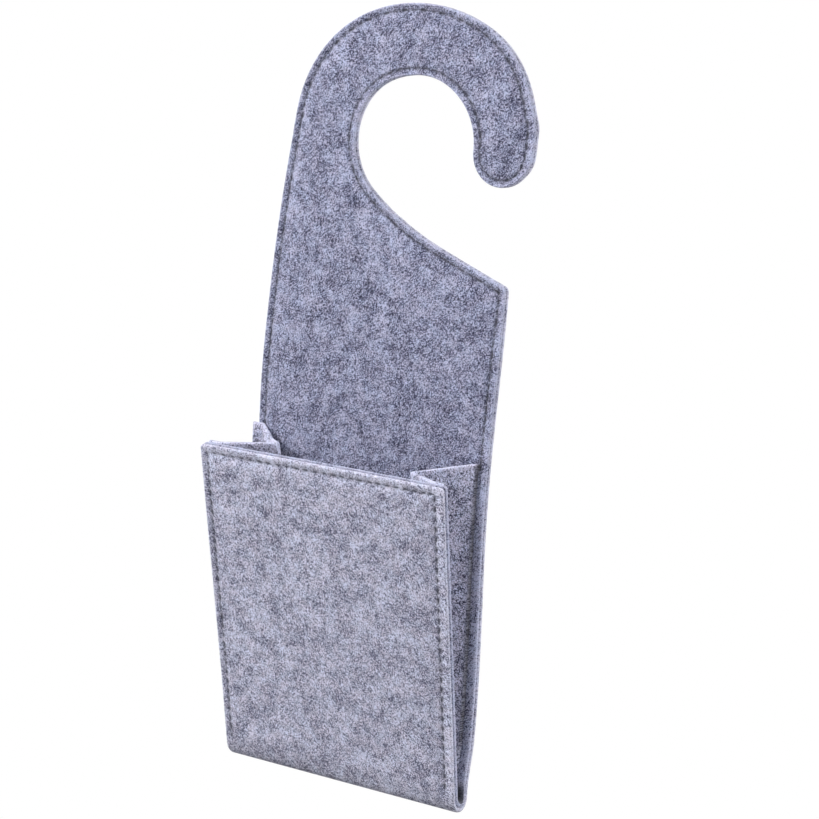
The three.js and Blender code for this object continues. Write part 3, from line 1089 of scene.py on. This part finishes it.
# Dark tones: the thread's own colour, darkened by painted shadow of the groove.
tones = [(0.0, "#282836"), (1.0, "#4a4b60")]
tone = add_node(thread_tree, "ShaderNodeValToRGB", [("Fac", ply)], tones)
thread_tree.links.new(tone.outputs["Color"], thread_shader.inputs["Base Color"])
twist = [("Height", ply), ("Strength", PLY_STRENGTH), ("Distance", PLY_HEIGHT * MM)]
relief = add_node(thread_tree, "ShaderNodeBump", twist)
thread_tree.links.new(relief.outputs["Normal"], thread_shader.inputs["Normal"])
thread_shader.inputs["Roughness"].default_value = 0.7
thread_shader.inputs["Sheen Weight"].default_value = 0.2
print("thread material:", thread.name)

# %% [markdown]
# ## Sewing it up
#
# Every piece now gets its finish, stands for its CAD solids and follows the part's bodies. The
# plies bend at the fold, between the back and the pocket front. Each gusset half bends at its own
# seam.

# %% Finishes and bodies of the plies
FOLD_BLEND = 2.2


def dressed(piece, material, slot, *nodes):
    piece.data.materials.append(material)
    if nodes:
        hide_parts(*nodes)


def seam_point(x, y):
    return (FOLD_CENTRE + Vector((x, y, 0))) * MM


dressed(outer_felt, felt, "felt", "back_rear_ply", "fold_outer_ply", "front_outer_ply")
dressed(inner_felt, inner_ply_felt, "felt", "back_front_ply", "fold_inner_ply", "front_inner_ply")
fold_start = seam_point(0, FOLD_BLEND)
fold_end = seam_point(0, -FOLD_BLEND)
for ply, cut, wrap in ((outer_felt, outer_cut, OUTER_WRAP), (inner_felt, inner_cut, INNER_WRAP)):
    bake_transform(ply, "back", "pocket_front", start=fold_start, end=fold_end)
    flat_area(cut) * MM**2

# %% Finishes and bodies of the long seams
dressed(hook_stitches, thread, "thread", "hook_seam_front")
dressed(front_stitches, thread, "thread", "front_seam_outer")
dressed(rim_stitches, thread, "thread", "front_rim_seam_inner")
dressed(rear_stitches, thread, "thread")
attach(hook_stitches, "back")
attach(rear_stitches, "back")
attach(front_stitches, "pocket_front")
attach(rim_stitches, "pocket_front")
print("the long seams ride on the back and on the pocket front")

# %% Gussets and their stitches
GUSSET_BLEND = 1.2
for (where, label), piece in gussets.items():
    side = 1 if label == "right" else -1
    panel = "back" if where == "rear" else "pocket_front"
    flange = BACK_FLANGE if where == "rear" else FRONT_FLANGE
    solids = ("%s_flange_%s" % (where, label), "gusset_%s_half_%s" % (where, label))
    dressed(piece, gusset_felt, "gusset_felt", *solids)
    start = seam_point(side * (SEAM_X + GUSSET_BLEND), 0)
    end = seam_point(side * (SEAM_X - GUSSET_BLEND), 0)
    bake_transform(piece, panel, "gusset_%s_%s" % (where, label), start=start, end=end)
    threads = flange_stitches[where, label]
    dressed(threads, thread, "thread", "%s_flange_seam_%s" % (where, label))
    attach(threads, panel)
print("gusset pieces:", len(gussets))

# %% [markdown]
# ## The studio
#
# The photograph shows the organizer on plain white. Its soft light comes mainly from the left,
# with a weaker fill and a light on the cut edges from the right, and a little from above. The
# part hangs, so the floor lies well below it. Floor and world are pure white to the camera, and
# plain to the light that falls on the felt.

# %% Floor and world
WHITE = "#ffffff"
FLOOR_GREY = "#b4b4b4"
FLOOR_SIZE, FLOOR_DROP = 12, 0.6
ROOM_LIGHT = 0.3


def seen_rays(tree):
    """1 for rays from the camera and for those that a gloss or glass sends on, else 0."""
    path = add_node(tree, "ShaderNodeLightPath").outputs
    total = path["Is Camera Ray"]
    for other in ("Is Glossy Ray", "Is Transmission Ray"):
        pair = [(0, total), (1, path[other])]
        total = add_node(tree, "ShaderNodeMath", pair, operation="MAXIMUM").outputs[0]
    return total


bpy.ops.object.select_all(action="DESELECT")
bpy.ops.mesh.primitive_plane_add(size=FLOOR_SIZE, location=(0, 0, cad_low.z - FLOOR_DROP))
floor = bpy.context.object
floor.name = "studio_floor"
floor_white, floor_tree, floor_shader = new_material("studio_white")
floor_shader.inputs["Base Color"].default_value = linear(FLOOR_GREY)
floor_shader.inputs["Roughness"].default_value = 1.0
white = add_node(floor_tree, "ShaderNodeEmission", [("Strength", 1.0)])
sides = [(0, seen_rays(floor_tree)), (1, floor_shader.outputs[0]), (2, white.outputs[0])]
seen = add_node(floor_tree, "ShaderNodeMixShader", sides)
floor_tree.links.new(seen.outputs[0], floor_tree.nodes["Material Output"].inputs["Surface"])
floor.data.materials.append(floor_white)

world = bpy.data.worlds.new("studio")
bpy.context.scene.world = world
world.use_nodes = True
sky = world.node_tree
room = sky.nodes["Background"]
room.inputs["Color"].default_value = linear(WHITE)
room.inputs["Strength"].default_value = ROOM_LIGHT
backdrop = add_node(sky, "ShaderNodeBackground", [("Color", linear(WHITE)), ("Strength", 1.0)])
sides = [(0, seen_rays(sky)), (1, room.outputs[0]), (2, backdrop.outputs[0])]
sky_mix = add_node(sky, "ShaderNodeMixShader", sides)
sky.links.new(sky_mix.outputs[0], sky.nodes["World Output"].inputs["Surface"])
print("floor at", round(floor.location.z, 3), "m")

# %% Lamps
TARGET = Vector((7.86, -2.39, -146.09)) * MM
# Each lamp has a name, a place and a width in metres, and its power in watts.
LAMPS = [("key", (-1.05, -1.0, 0.65), 0.8, 40), ("fill", (1.45, -0.4, 0.25), 0.7, 11)]
LAMPS += [("edge", (1.25, 0.75, 0.1), 0.6, 13), ("top", (-0.3, -0.15, 1.25), 0.6, 9)]
for name, place, size, power in LAMPS:
    data = bpy.data.lights.new(name, "AREA")
    data.shape = "DISK"
    data.size = size
    data.energy = power
    lamp = bpy.data.objects.new(name, data)
    lamp.location = place
    lamp.rotation_mode = "QUATERNION"
    lamp.rotation_quaternion = (TARGET - Vector(place)).to_track_quat("-Z", "Y")
    bpy.context.scene.collection.objects.link(lamp)
print("lamps:", [light.name for light in bpy.data.lights])

# %% [markdown]
# ## The camera
#
# The camera was fitted to the photograph: it looks from the front right, a little from above, and
# is rolled by a few degrees. The picture is square, so the lens follows from the focal length in
# pixels.

# %% Camera
AZIMUTH = math.radians(30.0008)
ELEVATION = math.radians(9.8265)
ROLL = math.radians(3.9926)
DISTANCE = 0.97026
FOCAL_PIXELS = 2211.24
IMAGE_PIXELS = 819
camera_data = bpy.data.cameras.new("camera")
camera = bpy.data.objects.new("camera", camera_data)
bpy.context.scene.collection.objects.link(camera)
flat_way = math.cos(ELEVATION)
away = Vector((math.sin(AZIMUTH) * flat_way, -math.cos(AZIMUTH) * flat_way, math.sin(ELEVATION)))
camera.location = TARGET + away * DISTANCE
camera.rotation_mode = "QUATERNION"
camera.rotation_quaternion = (-away).to_track_quat("-Z", "Y") @ Quaternion((0, 0, 1), ROLL)
camera_data.sensor_width = 36
camera_data.lens = FOCAL_PIXELS / IMAGE_PIXELS * camera_data.sensor_width
bpy.context.scene.camera = camera
bpy.context.scene.view_settings.view_transform = "Standard"
print("lens", round(camera_data.lens, 2), "mm")
